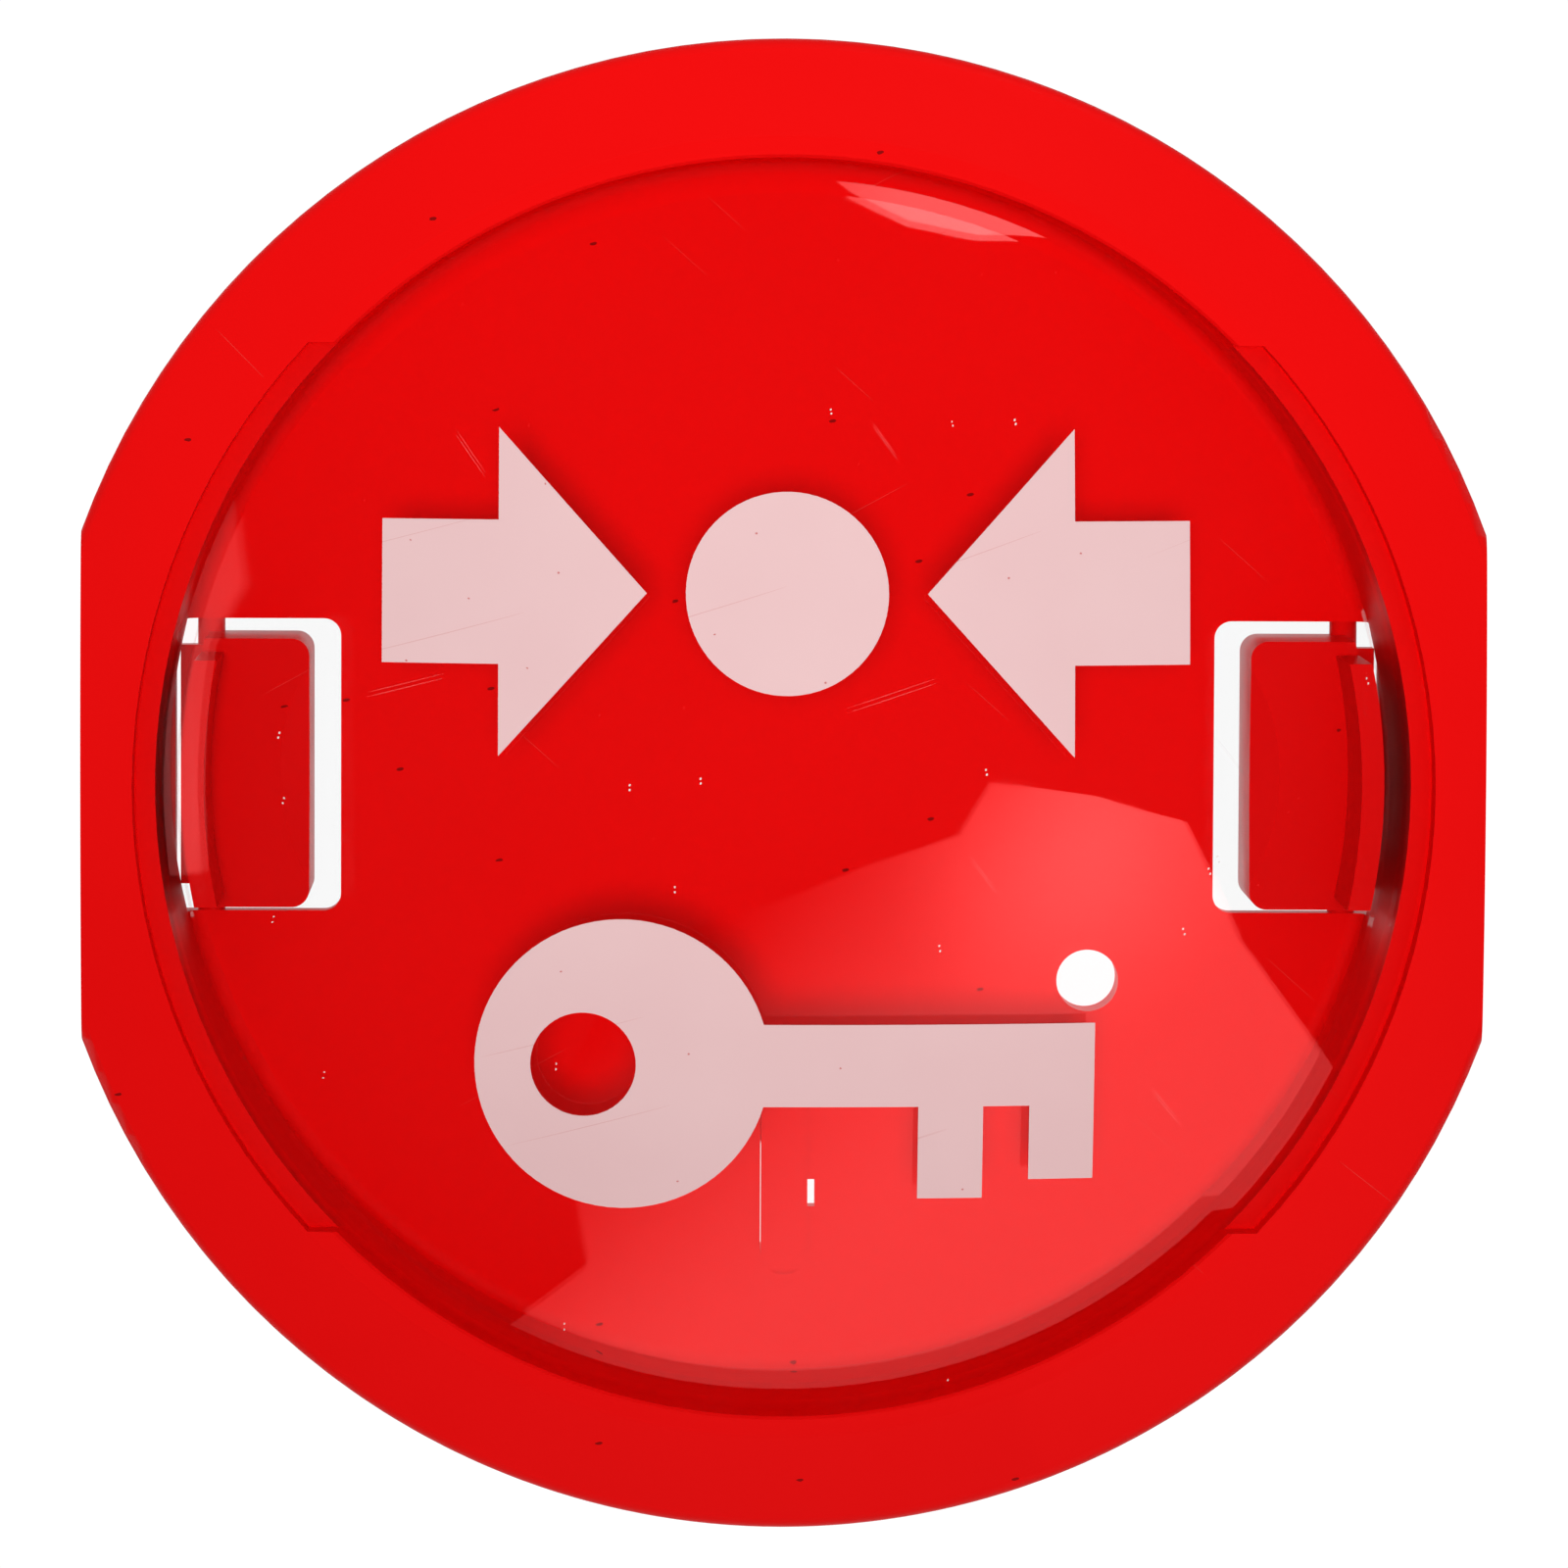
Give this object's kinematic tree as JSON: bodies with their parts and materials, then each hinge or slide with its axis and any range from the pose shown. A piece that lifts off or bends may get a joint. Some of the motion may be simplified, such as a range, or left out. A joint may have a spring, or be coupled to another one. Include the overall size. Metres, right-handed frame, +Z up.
{
  "type": "break glass key box",
  "caption": "Wall-mounted emergency key box: red round housing with side flats, clear domed cover and spring latches.",
  "frame": {"origin": "centre of the two-screw pattern, in the plane of the wall", "axes": "+Z up, +X to the right as seen from the front, the front faces -Y and the wall is on the +Y side"},
  "size_m": [0.094, 0.0357, 0.1],
  "materials": {
    "red_abs": "moulded ABS, satin",
    "clear_polystyrene": "clear, polished",
    "white_ink": "printed, matt"
  },
  "bodies": {
    "housing": {"base_moulding": "red_abs"},
    "left_release": {"left_latch": "red_abs"},
    "right_release": {"right_latch": "red_abs"},
    "cover": {"clear_cover": "clear_polystyrene", "cover_print": "white_ink"}
  },
  "joints": [
    {"name": "left_latch_rock", "type": "hinge", "parent": "housing", "child": "left_release", "pos_m": [-0.0393, -0.003, 0], "axis": [0, 0, 1], "range_deg": [0, 9], "stiffness_Nm_per_rad": 0.3},
    {"name": "right_latch_rock", "type": "hinge", "parent": "housing", "child": "right_release", "pos_m": [0.0393, -0.003, 0], "axis": [0, 0, -1], "range_deg": [0, 9], "stiffness_Nm_per_rad": 0.3},
    {"name": "cover_lift", "type": "slide", "parent": "housing", "child": "cover", "axis": [0, -1, 0], "range_m": [0, 0.03]}
  ]
}
